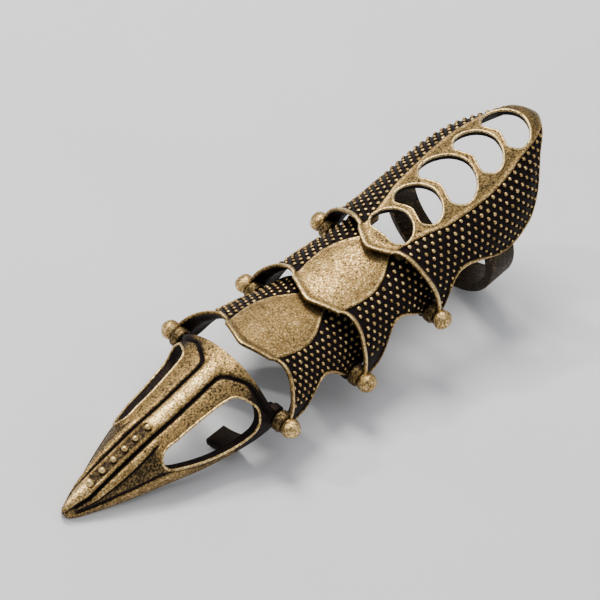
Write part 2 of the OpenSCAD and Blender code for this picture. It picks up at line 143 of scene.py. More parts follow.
def antiqueBrass():
    # cast brass, blackened and rubbed back: dark in the recesses, tan and satin where it is handled
    material = newMaterial("antiqueCastBrass")
    tree = material.node_tree
    spot = addNode(tree, "ShaderNodeTexCoord").outputs["Object"]
    worn = addNode(tree, "ShaderNodeAttribute", {"attribute_name": "worn"}).outputs["Fac"]
    patterns = {}
    fineness = {"mottle": (3.0, 0.6), "speckle": (3.0, 0.65), "grit": (2.0, 0.5), "pit": (2.0, 0.5)}
    for key, (detail, roughness) in fineness.items():
        settings = {"Scale": 1000 / patina[key + "Mm"], "Detail": detail, "Roughness": roughness}
        patterns[key] = addNode(tree, "ShaderNodeTexNoise", settings, {"Vector": spot}).outputs["Fac"]
    moved = {}
    for key in ("mottle", "speckle"):
        share = patina[key + "Share"]
        moved[key] = addNode(tree, "ShaderNodeMath", {"operation": "MULTIPLY_ADD", 1: share, 2: -share / 2},
                             {0: patterns[key]}).outputs[0]
    # of a map range, 1 and 2 are what comes in, 3 and 4 what goes out
    pit = addNode(tree, "ShaderNodeMapRange", {1: 0.6, 2: 0.74, 3: 0.0, 4: patina["pitShare"]},
                  {0: patterns["pit"]})
    broad = addNode(tree, "ShaderNodeMath", {"operation": "ADD"}, {0: moved["mottle"], 1: pit.outputs[0]})
    both = addNode(tree, "ShaderNodeMath", {"operation": "ADD"}, {0: broad.outputs[0], 1: moved["speckle"]})
    # patterns show most where the brass is rubbed
    held = addNode(tree, "ShaderNodeMapRange", {1: 0.0, 2: 1.0, 3: 0.2, 4: 1.7}, {0: worn})
    level = addNode(tree, "ShaderNodeMath", {"operation": "MULTIPLY_ADD"},
                    {0: both.outputs[0], 1: held.outputs[0], 2: worn})
    ramp = addNode(tree, "ShaderNodeValToRGB", links={"Fac": level.outputs[0]})
    stops = ramp.color_ramp.elements
    stops[0].position = 0.0
    stops[0].color = linear(patina["ground"])
    stops[1].position = 1.0
    stops[1].color = linear(patina["bright"])
    for place, key in ((0.25, "shadow"), (0.5, "middle"), (0.75, "rubbed")):
        stops.new(place).color = linear(patina[key])
    rough = addNode(tree, "ShaderNodeMapRange", {1: 0.0, 2: 1.0, 3: 0.7, 4: 0.35}, {0: level.outputs[0]})
    metal = addNode(tree, "ShaderNodeMapRange", {1: 0.0, 2: 0.4, 3: 0.9, 4: 1.0}, {0: level.outputs[0]})
    grain = addNode(tree, "ShaderNodeMath", {"operation": "ADD"},
                    {0: patterns["speckle"], 1: patterns["grit"]})
    relief = addNode(tree, "ShaderNodeBump", {"Strength": 0.7, "Distance": patina["reliefMm"] * mm},
                     {"Height": grain.outputs[0]})
    shader = addNode(tree, "ShaderNodeBsdfPrincipled", links={
        "Base Color": ramp.outputs["Color"], "Roughness": rough.outputs[0],
        "Metallic": metal.outputs[0], "Normal": relief.outputs["Normal"]})
    addNode(tree, "ShaderNodeOutputMaterial", links={"Surface": shader.outputs["BSDF"]})
    return material


brass = antiqueBrass()

stage = {
    "floor": "#DDDEE0",
    "floorDark": "#D0D1D4",
    "floorMm": 4000,
    "cloudMm": 40,
    "sky": "#EBECEE",
    "skyStrength": 0.5,
    "keyWatts": 2.7,
    "overheadWatts": 2.9,
    "fillWatts": 0.5,
    "glintWatts": 0.8,
}


def addStage():
    # pale matt card, faintly clouded
    card = newMaterial("mattCard")
    tree = card.node_tree
    spot = addNode(tree, "ShaderNodeTexCoord").outputs["Object"]
    cloud = addNode(tree, "ShaderNodeTexNoise", {"Scale": 1000 / stage["cloudMm"], "Detail": 2.0},
                    {"Vector": spot})
    tone = addNode(tree, "ShaderNodeValToRGB", links={"Fac": cloud.outputs["Fac"]})
    tone.color_ramp.elements[0].color = linear(stage["floorDark"])
    tone.color_ramp.elements[1].color = linear(stage["floor"])
    shader = addNode(tree, "ShaderNodeBsdfPrincipled", {"Roughness": 0.9, "Specular IOR Level": 0.1},
                     {"Base Color": tone.outputs["Color"]})
    addNode(tree, "ShaderNodeOutputMaterial", links={"Surface": shader.outputs["BSDF"]})
    bpy.ops.object.select_all(action="DESELECT")
    bpy.ops.mesh.primitive_plane_add(size=stage["floorMm"] * mm, location=(0, 0, 0))
    floor = bpy.context.object
    floor.name = "floor"
    floor.data.materials.append(card)
    world = bpy.data.worlds.new("softbox")
    bpy.context.scene.world = world
    world.use_nodes = True
    background = world.node_tree.nodes["Background"]
    background.inputs["Color"].default_value = linear(stage["sky"])
    background.inputs["Strength"].default_value = stage["skyStrength"]


def addLight(name, direction, distance, size, watts, colour):
    # a round soft lamp, distance and size in mm
    data = bpy.data.lights.new(name, "AREA")
    data.shape = "DISK"
    data.size = size * mm
    data.energy = watts
    data.color = linear(colour)[:3]
    lamp = bpy.data.objects.new(name, data)
    bpy.context.collection.objects.link(lamp)
    aim = direction.normalized()
    lamp.location = aim * distance * mm
    lamp.rotation_euler = aim.to_track_quat("Z", "Y").to_euler()


addStage()
addLight("keyLight", Vector((-0.12, -0.45, 0.88)), 500, 200, stage["keyWatts"], "#FFFBF4")
addLight("overheadLight", Vector((-0.1, -0.1, 1)), 700, 900, stage["overheadWatts"], "#FBFBFF")
addLight("glintLight", -0.6 * right + 0.6 * top + 0.5 * back, 500, 30, stage["glintWatts"], "#FFFBF4")
addLight("fillLight", 0.9 * right - 0.1 * top + 0.5 * back, 600, 300, stage["fillWatts"], "#F6F7FC")
print("camera, light and floor")


# shapes shared by the castings
def stretchAt(table, x):
    # which stretch of the table x is in
    i = 0
    while i < len(table) - 2 and x >= table[i + 1][0]:
        i += 1
    return i


def lean(table, k, i):
    # slope of column k at row i
    a, b = max(0, i - 1), min(len(table) - 1, i + 1)
    return (table[b][k] - table[a][k]) / (table[b][0] - table[a][0])


def curveAt(table, x, k=1):
    # smooth curve through column k of a table
    i = stretchAt(table, x)
    h = table[i + 1][0] - table[i][0]
    u = min(1, max(0, (x - table[i][0]) / h))
    return (table[i][k] * (2 * u ** 3 - 3 * u * u + 1) + lean(table, k, i) * h * (u ** 3 - 2 * u * u + u)
            + table[i + 1][k] * (3 * u * u - 2 * u ** 3) + lean(table, k, i + 1) * h * (u ** 3 - u * u))


def rise(t):
    t = min(1, max(0, t))
    return t * t * (3 - 2 * t)


def climb(x, start, over):
    # 0 up to start, then smoothly to 1
    return rise((x - start) / over)


def fall(x, end, over):
    # smoothly from 1 to 0 at end
    return rise((end - x) / over)


def bulge(t):
    return math.exp(-t * t)


def roundTop(t):
    return max(0, 1 - t ** 2)


def broken(x, xs, ys):
    # straight lines through xs, ys
    for k in range(len(xs) - 1):
        if x <= xs[k + 1]:
            return ys[k] + (ys[k + 1] - ys[k]) * (x - xs[k]) / (xs[k + 1] - xs[k])
    return ys[-1]


def spread(breaks, steps):
    # from break to break in so many even steps each
    out = [breaks[0]]
    for k, n in enumerate(steps):
        out += [breaks[k] + (breaks[k + 1] - breaks[k]) * (m + 1) / n for m in range(n)]
    return out


def archPoint(x, a, half, high, foot, lift):
    # a point of an arched section, a radians round from the crown, raised by lift
    n = math.hypot(math.sin(a) / half, math.cos(a) / high)
    return Vector((x, (half + lift / half / n) * math.sin(a), foot + (high + lift / high / n) * math.cos(a)))


def onSide(p, side):
    return Vector((p.x, side * p.y, p.z))


def setWorn(mesh, values):
    # how far each point's patina is rubbed away
    layer = mesh.attributes.new("worn", "FLOAT", "POINT")
    layer.data.foreach_set("value", values)


def newPiece(name, verts, faces, place, worn):
    # a mesh in millimetres of its own frame becomes an object at the origin
    mesh = bpy.data.meshes.new(name)
    mesh.from_pydata([place @ (Vector(v) * mm) for v in verts], [], faces)
    mesh.update()
    setWorn(mesh, worn)
    mesh.shade_smooth()
    piece = bpy.data.objects.new(name, mesh)
    bpy.context.collection.objects.link(piece)
    return piece


casting = {
    "insideWorn": 0.12,
    "cutWorn": 0.06,
    "edgeWorn": 0.75,
    "edgeFade": 0.85,  # how much of that is gone at the inner side
    "edgeSteps": 4,
    "smoothDegrees": 48,
}


def castShell(name, rows, shares, outer, inner, place, swell=0.32):
    # outer(i, share, side) gives a point and its wear, inner(i, share, side) a point
    cols = [(s, -1) for s in reversed(shares[1:])] + [(s, 1) for s in shares]
    across = len(cols)
    verts, worn = [], []
    for i in range(rows + 1):
        for share, side in cols:
            point, wear = outer(i, share, side)
            verts.append(point)
            worn.append(wear)
    base = len(verts)
    for i in range(rows + 1):
        for share, side in cols:
            verts.append(inner(i, share, side))
            worn.append(casting["insideWorn"])
    faces = []
    for i in range(rows):
        for j in range(across - 1):
            a = i * across + j
            b = base + a
            faces.append((a, a + across, a + across + 1, a + 1))
            faces.append((b, b + 1, b + across + 1, b + across))
    # the rim's points, each with its neighbour one step in from the edge
    rim = [(i, 0, i, 1) for i in range(rows)] + [(rows, j, rows - 1, j) for j in range(across - 1)]
    rim += [(i, across - 1, i, across - 2) for i in range(rows, 0, -1)]
    rim += [(0, j, 1, j) for j in range(across - 1, 0, -1)]
    rim = [(i * across + j, m * across + n) for i, j, m, n in rim]
    rings = [[edge for edge, within in rim]]
    steps = casting["edgeSteps"]
    for t in range(1, steps):
        ring = []
        angle = math.pi * t / steps
        for edge, within in rim:
            a, b = Vector(verts[edge]), Vector(verts[base + edge])
            out = a - Vector(verts[within])
            out = out.normalized() if out.length > 1e-6 else Vector((0, 0, 0))
            ring.append(len(verts))
            proud = out * (b - a).length * swell * math.sin(angle)
            verts.append(a.lerp(b, (1 - math.cos(angle)) / 2) + proud)
            worn.append(casting["edgeWorn"] * (1 - casting["edgeFade"] * t / steps))
        rings.append(ring)
    rings.append([base + edge for edge, within in rim])
    for above, below in zip(rings, rings[1:]):
        for m in range(len(rim)):
            n = (m + 1) % len(rim)
            faces.append((above[n], above[m], below[m], below[n]))
    return newPiece(name, verts, faces, place, worn)


def sweep(name, stations, profile, place, wear, closed=False):
    # a profile of (u, v) carried along stations of (point, uAxis, vAxis)
    verts = [p + u * a + v * b for p, a, b in stations for u, v in profile]
    n, count = len(profile), len(stations)
    faces = []
    for k in range(count if closed else count - 1):
        m = (k + 1) % count
        for j in range(n):
            q = (j + 1) % n
            faces.append((k * n + j, k * n + q, m * n + q, m * n + j))
    if not closed:
        faces += [tuple(range(n - 1, -1, -1)), tuple(range((count - 1) * n, count * n))]
    return newPiece(name, verts, faces, place, [wear] * len(verts))


def roundBar(wide, thick, corner, steps=3):
    # a rectangle with round corners, round its middle
    out = []
    for k, (sx, sy) in enumerate(((1, 1), (-1, 1), (-1, -1), (1, -1))):
        for m in range(steps + 1):
            a = math.pi / 2 * (k + m / steps)
            out.append((sx * (wide / 2 - corner) + corner * math.cos(a),
                        sy * (thick / 2 - corner) + corner * math.sin(a)))
    return out


def select(*pieces):
    bpy.ops.object.select_all(action="DESELECT")
    for piece in pieces:
        piece.select_set(True)
    bpy.context.view_layer.objects.active = pieces[0]


def join(name, pieces):
    select(*pieces)
    bpy.ops.object.join()
    pieces[0].name = name
    pieces[0].data.name = name
    return pieces[0]


def applyAll(piece):
    select(piece)
    for modifier in list(piece.modifiers):
        bpy.ops.object.modifier_apply(modifier=modifier.name)


def normalAt(surface, x, a):
    e = 0.02  # mm, an eighth of it as an angle
    along = surface(x + e, a, 0) - surface(x - e, a, 0)
    across = surface(x, a + e / 8, 0) - surface(x, a - e / 8, 0)
    normal = along.cross(across)
    return normal.normalized() if normal.length > 0 else Vector((0, 0, 1))


stud = {
    "radius": 0.31,
    "high": 0.34,
    "uneven": 0.08,
    "worn": ((0.9, 1.0), (0.8, 0.85), (0.5, 0.45), (-1, 0.05)),  # above which share of the height, how rubbed: rubbed caps that also carry a painted highlight, low skirts partly patina and partly painted shade
    "pitch": 1.2,
    "rowPitch": 1.05,
    "rows": 12,
    "firstRow": 0.62,  # from the panel's edge
    "clearPanel": 0.5,
    "clearRim": 1.15,
    "clearRear": 0.5,
    "largest": 1.2,
    "shrink": 0.4,  # from the panel down to the lower edge
}
boss = {
    "radius": 1.5,
    "proud": 0.1,
    "inward": 0.22,
    "soft": 0.35,
}


def grains(name, spots, place):
    # studs of the grained field, one shape set down at each (point, normal, size)
    bpy.ops.object.select_all(action="DESELECT")
    bpy.ops.mesh.primitive_ico_sphere_add(subdivisions=2, radius=1)
    pattern = bpy.context.object
    bpy.ops.object.mode_set(mode="EDIT")
    bpy.ops.mesh.select_all(action="SELECT")
    bpy.ops.mesh.bisect(plane_co=(0, 0, -0.2), plane_no=(0, 0, 1), clear_inner=True)
    bpy.ops.object.mode_set(mode="OBJECT")
    shape = [v.co.copy() for v in pattern.data.vertices]
    # bright caps are rubbed brass plus a painted highlight, dark skirts are patina plus painted shade round
    # each stud
    rubbed = [next(wear for height, wear in stud["worn"] if v.z > height) for v in shape]
    sides = [tuple(p.vertices) for p in pattern.data.polygons]
    bpy.data.objects.remove(pattern)
    verts, faces, worn = [], [], []
    for k, (point, normal, size) in enumerate(spots):
        turn = normal.to_track_quat("Z", "Y").to_matrix()
        radius = stud["radius"]
        grow = size * (1 + stud["uneven"] * math.sin(k * 2.4))
        start = len(verts)
        verts += [point + turn @ Vector((v.x * radius * grow, v.y * radius * grow, v.z * stud["high"]))
                  for v in shape]
        worn += rubbed
        faces += [tuple(start + s for s in side) for side in sides]
    return newPiece(name, verts, faces, place, worn)


def turnedRod(radius, low, high, side, corners, soft, softSteps):
    # a rod across the finger with softened ends, from low to high on one side
    bpy.ops.object.select_all(action="DESELECT")
    bpy.ops.mesh.primitive_cylinder_add(vertices=corners, radius=radius * mm, depth=(high - low) * mm,
                                        rotation=(math.pi / 2, 0, 0))
    rod = bpy.context.object
    soften = rod.modifiers.new("soften", "BEVEL")
    soften.width = soft * mm
    soften.segments = softSteps
    soften.limit_method = "ANGLE"
    applyAll(rod)
    bpy.ops.object.transform_apply(rotation=True)
    rod.data.transform(Matrix.Translation(Vector((0, side * (low + high) / 2, 0)) * mm))
    return rod


def hingeBoss(half, wall, x, place, wear=0.36):
    # the turned boss at each end of a hinge; its default wear keeps it darker than the rims, painted shade
    # beside the rivet's ball
    pieces = []
    for side in (-1, 1):
        rod = turnedRod(boss["radius"], half - wall - boss["inward"], half + boss["proud"], side,
                        corners=48, soft=boss["soft"], softSteps=4)
        rod.data.transform(place @ Matrix.Translation(Vector((x, 0, 0)) * mm))
        rod.data.shade_smooth()
        setWorn(rod.data, [wear] * len(rod.data.vertices))
        pieces.append(rod)
    return pieces


def cutOut(piece, cutters):
    # takes the cutters out of a casting; points that stay keep their old wear, the new cut faces get the cut
    # wear
    tree = kdtree.KDTree(len(piece.data.vertices))
    old = [0.0] * len(piece.data.vertices)
    piece.data.attributes["worn"].data.foreach_get("value", old)
    for k, v in enumerate(piece.data.vertices):
        tree.insert(v.co, k)
    tree.balance()
    for cutter in cutters:
        cut = piece.modifiers.new("cut", "BOOLEAN")
        cut.operation = "DIFFERENCE"
        cut.object = cutter
        cut.solver = "EXACT"
        applyAll(piece)
        bpy.data.objects.remove(cutter)
    nearest = [tree.find(v.co) for v in piece.data.vertices]
    if "worn" in piece.data.attributes:
        piece.data.attributes.remove(piece.data.attributes["worn"])
    same = 0.002 * mm
    setWorn(piece.data, [old[k] if gap < same else casting["cutWorn"] for place, k, gap in nearest])
    piece.data.shade_smooth()


def lip(name, points, normals, radius, place, wear=1.0):
    # the rubbed round edge of a hole
    turns = [k * math.pi / 4 for k in range(8)]
    ring = [(math.cos(turn) * radius, math.sin(turn) * radius) for turn in turns]
    n = len(points)
    stations = []
    for k in range(n):
        along = (points[(k + 1) % n] - points[k - 1]).normalized()
        side = along.cross(normals[k]).normalized()
        stations.append((points[k], side, side.cross(along)))
    return sweep(name, stations, ring, place, wear, True)


def finishPiece(piece, node, body):
    piece.data.materials.clear()
    piece.data.materials.append(brass)
    for face in piece.data.polygons:
        face.material_index = 0
    select(piece)
    bpy.ops.object.shade_smooth_by_angle(angle=math.radians(casting["smoothDegrees"]))
    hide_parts(node)
    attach(piece, body)


def angleAt(share, panel, edge, half):
    # panel up to 0.1, a step to 0.15, field to 0.9, border to the edge
    one = 1 / half
    step = min(0.35 * one, (edge - panel) * 0.06)
    border = min(0.6 * one, (edge - panel) * 0.1)
    return broken(share, [0, 0.1, 0.15, 0.9, 0.95, 1],
                  [0, panel, panel + step, edge - border, edge - border / 2, edge])


plateShares = spread([0, 0.08, 0.1, 0.15, 0.25, 0.84, 0.93, 1], [9, 6, 5, 6, 24, 8, 6])


# middle plates
plate = {
    "rear": {"length": 14.6, "backHalf": 8.67, "frontHalf": 10.15, "backCrown": 7.4, "frontCrown": 8.1,
             "short": 3.7},
    "front": {"length": 15.2, "backHalf": 8.57, "frontHalf": 9.95, "backCrown": 6.6, "frontCrown": 6.8,
              "short": 0},
    "wall": 1.1,
    "tuck": 3.3,
    "sweep": 2.8,
    "panelHalf": 4.75,
    "fieldDrop": 0.3,
    "beadHigh": 0.07,
    "borderDrop": 0.14,
    "flare": 0.4,
    "flareSides": 0.3,
    "flareLong": 1.9,
    "rows": 120,
}
# share round the arch, place of the front rim over the sweep, of the covered end over the tuck
plateRim = [[-0.05, -0.14, 1], [0, 0.11, 1], [0.05, -0.14, 1], [0.1, -0.47, 1], [0.15, -0.68, 1],
            [0.2, -0.79, 1], [0.3, -0.79, 1], [0.4, -0.67, 1], [0.5, -0.48, 1], [0.6, -0.33, 0.96],
            [0.7, -0.16, 0.88], [0.8, 0, 0.78], [0.9, 0.1, 0.66], [1, 0.16, 0.56]]
# length share, angle of the lower edge, panel half width
plateSide = [[-1.2, 82, 0.2], [-1.08, 93, 0.25], [-1, 97, 0.32], [-0.92, 91, 0.46],
             [-0.82, 81, 0.66], [-0.72, 72, 0.84], [-0.64, 68, 0.93], [-0.56, 68, 0.99],
             [-0.46, 74, 1.01], [-0.36, 84, 0.99], [-0.27, 94, 0.95], [-0.15, 99, 0.88],
             [0, 100, 0.8], [0.15, 97, 0.74]]


def rimLift(panel, rim):
    # the front edge flares up, more at the sides than on the nail
    flare = fall(rim, plate["flareLong"], plate["flareLong"])
    return (plate["flare"] + plate["flareSides"] * rise(panel / 2)) * flare * flare


def thinner(rim, wall):
    # the casting's wall, thinner at the flared edge
    return wall - 0.5 * fall(rim, 1.8, 1.8)


def relief(panel, edge, rim, rear):
    # lift and wear from the distances in mm to the panel's edge, lower edge, front rim and rear end
    field = climb(panel, 0.05, 0.26) * climb(edge, 0.35, 0.25) * climb(rim, 0.4, 0.7) * rise(rear / 0.5)
    bead = bulge((panel + 0.14) / 0.15) * climb(rim, 1.0, 0.8)
    brim = fall(rim, 0.62, 0.3)
    lift = rimLift(panel, rim) - plate["fieldDrop"] * field + plate["beadHigh"] * bead
    lift -= plate["borderDrop"] * fall(edge, 0.3, 0.3)
    wear = 0.66 * (1 - field) + 0.02 * field
    wear *= 1 - 0.8 * rise(panel / 0.7) * fall(rim, 2.0, 0.6) * (1 - brim)
    return lift, max(wear, 0.92 * bead, brim, 0.8 * fall(edge, 0.45, 0.2))


def studSpots(section, surface, rimAt, rearAt, low, high, clear, along=None):
    # staggered rows of studs beside the panel, both sides alike; section(x) gives half width first, panel
    # and lower edge angles last
    spots = []
    for k in range(stud["rows"]):
        x = low + (0.5 if k % 2 else 0) * stud["pitch"]
        while x < high:
            shape = section(x)
            half, panel, edge = shape[0], shape[-2], shape[-1]
            a = (along(half) if along else panel) + (stud["firstRow"] + k * stud["rowPitch"]) / half
            share = broken(a, [0, panel, edge], [0, 0.1, 1])
            onField = (a - panel) * half > stud["clearPanel"] and (edge - a) * half > clear(x)
            if onField and rimAt(share) - x > stud["clearRim"] and x - rearAt(share) > stud["clearRear"]:
                point = surface(x, a, -plate["fieldDrop"])
                normal = normalAt(surface, x, a)
                size = stud["largest"] - stud["shrink"] * (a - panel) / (edge - panel)
                spots += [(onSide(point, side), onSide(normal, side), size) for side in (-1, 1)]
            x += stud["pitch"]
    return spots


def middlePlate(name, size, place, node, body):
    length, wall, rows = size["length"], plate["wall"], plate["rows"]

    def section(x):
        # half width, height, panel and lower edge angles
        u = min(1, max(0, (1 + x / length) / 0.86))
        behind = min(0, x + length)
        half = size["backHalf"] + (size["frontHalf"] - size["backHalf"]) * u
        high = (size["backCrown"] + (size["frontCrown"] - size["backCrown"]) * u)
        high *= math.sqrt(max(0.01, 1 - (behind / size["backCrown"]) ** 2))
        panel = math.asin(min(0.8, plate["panelHalf"] * curveAt(plateSide, x / length, 2) / half))
        return half, high, panel, math.radians(curveAt(plateSide, x / length, 1))

    def surface(x, a, d):
        half, high, panel, edge = section(x)
        return archPoint(x, a, half, high, 0, d)

    def rimAt(share):
        return plate["sweep"] * curveAt(plateRim, share, 1)

    def rearAt(share):
        return -length - plate["tuck"] * curveAt(plateRim, share, 2) + size["short"] * fall(share, 0.38, 0.14)

    rowShares = spread([0, 0.14, 0.88, 1], [8, rows - 24, 16])

    def gridPlace(i, share):
        rear = rearAt(share)
        x = rear + (rimAt(share) - rear) * rowShares[i]
        half, high, panel, edge = section(x)
        return x, angleAt(share, panel, edge, half), half, high, panel, edge

    def outer(i, share, side):
        x, a, half, high, panel, edge = gridPlace(i, share)
        lift, wear = relief((a - panel) * half, (edge - a) * half, rimAt(share) - x, x - rearAt(share) - 0.1)
        # painted shade: darker towards the rear end, where it slides under the neighbouring casting's rim
        wear *= 1 - 0.75 * fall(x, -length - 0.3, 0.8)
        return onSide(archPoint(x, a, half, high, 0, lift), side), wear

    def inner(i, share, side):
        x, a, half, high, panel, edge = gridPlace(i, share)
        rim = rimAt(share) - x
        up = rimLift((a - panel) * half, rim) - thinner(rim, wall)
        return onSide(archPoint(x, a, half, high, 0, up), side)

    def fourRowsUp(half):
        # the rows run straight, from four rows above the panel's widest edge
        return math.asin(min(0.9, plate["panelHalf"] / half)) - 4 * stud["rowPitch"] / half

    shell = castShell(name, rows, plateShares, outer, inner, place)
    spots = studSpots(section, surface, rimAt, rearAt, -length - 3, 0.5 * plate["sweep"],
                      lambda x: 0.62, fourRowsUp)
    studs = grains(name + "Studs", spots, place)
    bosses = hingeBoss(size["frontHalf"], wall, 0, place)
    bosses += hingeBoss(size["backHalf"], wall, -length, place, 0.1)
    piece = join(name, [shell, studs] + bosses)
    finishPiece(piece, node, body)
    print(name, len(spots), "studs", len(piece.data.polygons), "faces")


middlePlate("rearPlateCasting", plate["rear"], atRear, "rear_plate", "rear")
middlePlate("frontPlateCasting", plate["front"], atFront, "front_plate", "front")


# knuckle plate
knuckle = {
    "back": 30.7,
    "half": 10.25,
    "crown": 8.9,
    "sweep": 3.6,
    "wall": 1.1,
    "holeLen": 6.4,
    "holeHalf": 4.55,
    "holeGap": 0.1,
    "holeFront": 0.3,
    "lipRadius": 0.2,
    "dull": 0.22,
    "bandR": 8.6,
    "bandWall": 1.3,
    "bandW": 4.8,
    "bandBack": 14,
    "bandDrop": 3.1,
    "bandRoot": 0.9,
    "bandSteps": 96,
    "rows": 190,
}
# share round the arch, place of the front rim over the sweep
knuckleRim = [[-0.05, 0.73], [0, 0.9], [0.05, 0.73], [0.1, 0.46], [0.16, 0.26], [0.25, 0.12],
              [0.4, 0.02], [0.55, -0.06], [0.66, -0.06], [0.8, 0], [0.9, 0.06], [1, 0.13]]
# length share, half width, crown, foot of the section, lower edge angle, strip half width
knuckleTable = [
    [-1, 0.07, 0.73, 0.69, 88, 0.06],
    [-0.965, 0.2, 0.865, 0.74, 88, 0.17],
    [-0.925, 0.33, 0.955, 0.72, 88, 0.27],
    [-0.85, 0.5, 1.035, 0.58, 88, 0.36],
    [-0.78, 0.68, 1.06, 0.36, 88, 0.4],
    [-0.73, 0.785, 1.068, 0.26, 88, 0.43],
    [-0.665, 0.885, 1.06, 0.12, 89, 0.475],
    [-0.585, 0.945, 1.045, 0.055, 90, 0.51],
    [-0.5, 0.975, 1.017, 0.01, 90, 0.522],
    [-0.42, 0.98, 1.005, 0, 86, 0.512],
    [-0.33, 0.97, 1, 0, 77, 0.49],
    [-0.24, 0.965, 1, 0, 70, 0.46],
    [-0.17, 0.965, 1, 0, 71, 0.4],
    [-0.1, 0.985, 1, 0, 80, 0.35],
    [-0.04, 1, 1, 0, 93, 0.315],
    [0, 1, 1, 0, 99, 0.295],
    [0.12, 1, 1, 0, 96, 0.28]]
# from the rear: length share, half width share
kidneys = [[0.87, 0.83], [0.82, 0.88], [1, 1], [0.83, 0.84], [0.78, 0.72]]
# angle, share of the length, the same for the front hole, whose edge is straight
kidneyCurve = [[-20, 0.32, 0.38], [0, 0.24, 0.38], [20, 0.32, 0.38], [40, 0.38, 0.38], [60, 0.26, 0.26],
               [90, 0.02, 0.02], [120, -0.28, -0.28], [150, -0.52, -0.52], [180, -0.62, -0.62],
               [210, -0.52, -0.52]]


def knuckleSection(x):
    # half width, height, foot, panel and lower edge angles
    t = x / knuckle["back"]
    half = knuckle["half"] * curveAt(knuckleTable, t, 1)
    foot = knuckle["crown"] * curveAt(knuckleTable, t, 3)
    high = knuckle["crown"] * curveAt(knuckleTable, t, 2) - foot
    panel = math.asin(min(0.82, knuckle["half"] * curveAt(knuckleTable, t, 5) / half))
    return half, high, foot, panel, math.radians(curveAt(knuckleTable, t, 4))


def knuckleSurface(x, a, d):
    half, high, foot, panel, edge = knuckleSection(x)
    return archPoint(x, a, half, high, foot, d)


def knuckleRimAt(share):
    return knuckle["sweep"] * curveAt(knuckleRim, share, 1)


def pointBorder(x):
    # how much wider the border is towards the pointed end
    return 0.5 * fall(x, -22, 3)


def kidneyOutlines():
    # outlines seen from above, from the rear hole to the front one, whose front edge is straight
    out = []
    count = len(kidneys)
    rearReach = -kidneyCurve[-2][1]
    for k in range(count):
        lengths = [knuckle["holeLen"] * kidneys[m][0] for m in range(k, count)]
        gone = sum(lengths) + (count - 1 - k) * knuckle["holeGap"]
        long, half = knuckle["holeLen"] * kidneys[k][0], knuckle["holeHalf"] * kidneys[k][1]
        middle = rearReach * long + knuckle["holeFront"] - gone
        ring = []
        for a in range(0, 360, 5):
            reach = curveAt(kidneyCurve, 360 - a if a > 180 else a, 2 if k == count - 1 else 1)
            ring.append((middle + long * reach, half * math.sin(math.radians(a))))
        out.append(ring)
    return out


def prism(name, ring, place, axis, low, high):
    # a ring of (a, b) carried from low to high along an axis
    n = len(ring)
    if axis == "Z":
        verts = [(a, b, low) for a, b in ring] + [(a, b, high) for a, b in ring]
    else:
        verts = [(a, low, b) for a, b in ring] + [(a, high, b) for a, b in ring]
    faces = [tuple(range(n)), tuple(range(2 * n - 1, n - 1, -1))]
    faces += [(k, k + n, (k + 1) % n + n, (k + 1) % n) for k in range(n)]
    piece = newPiece(name, verts, faces, place, [0.1] * len(verts))
    select(piece)
    bpy.ops.object.mode_set(mode="EDIT")
    bpy.ops.mesh.select_all(action="SELECT")
    bpy.ops.mesh.normals_make_consistent(inside=False)
    bpy.ops.object.mode_set(mode="OBJECT")
    return piece


def ringBand():
    # the band under the knuckle plate, its ends run up into the plate
    mid = knuckle["bandR"] + knuckle["bandWall"] / 2
    past = math.asin((knuckle["bandDrop"] + knuckle["bandRoot"]) / knuckle["bandR"])
    middle = Vector((-knuckle["bandBack"], 0, -knuckle["bandDrop"]))
    stations = []
    for m in range(knuckle["bandSteps"] + 1):
        a = -past + (math.pi + 2 * past) * m / knuckle["bandSteps"]
        out = Vector((0, math.cos(a), -math.sin(a)))
        stations.append((middle + mid * out, Vector((1, 0, 0)), out))
    return sweep("ringBand", stations, roundBar(knuckle["bandW"], knuckle["bandWall"], 0.3), atKnuckle, 0.2)


def kidneyLips(outlines):
    lips = []
    for k, ring in enumerate(outlines):
        points, normals = [], []
        for x, y in ring:
            a = math.asin(max(-0.99, min(0.99, y / knuckleSection(x)[0])))
            points.append(knuckleSurface(x, a, -0.04))
            normals.append(normalAt(knuckleSurface, x, a))
        lips.append(lip("kidneyLip%d" % k, points, normals, knuckle["lipRadius"], atKnuckle))
    return lips


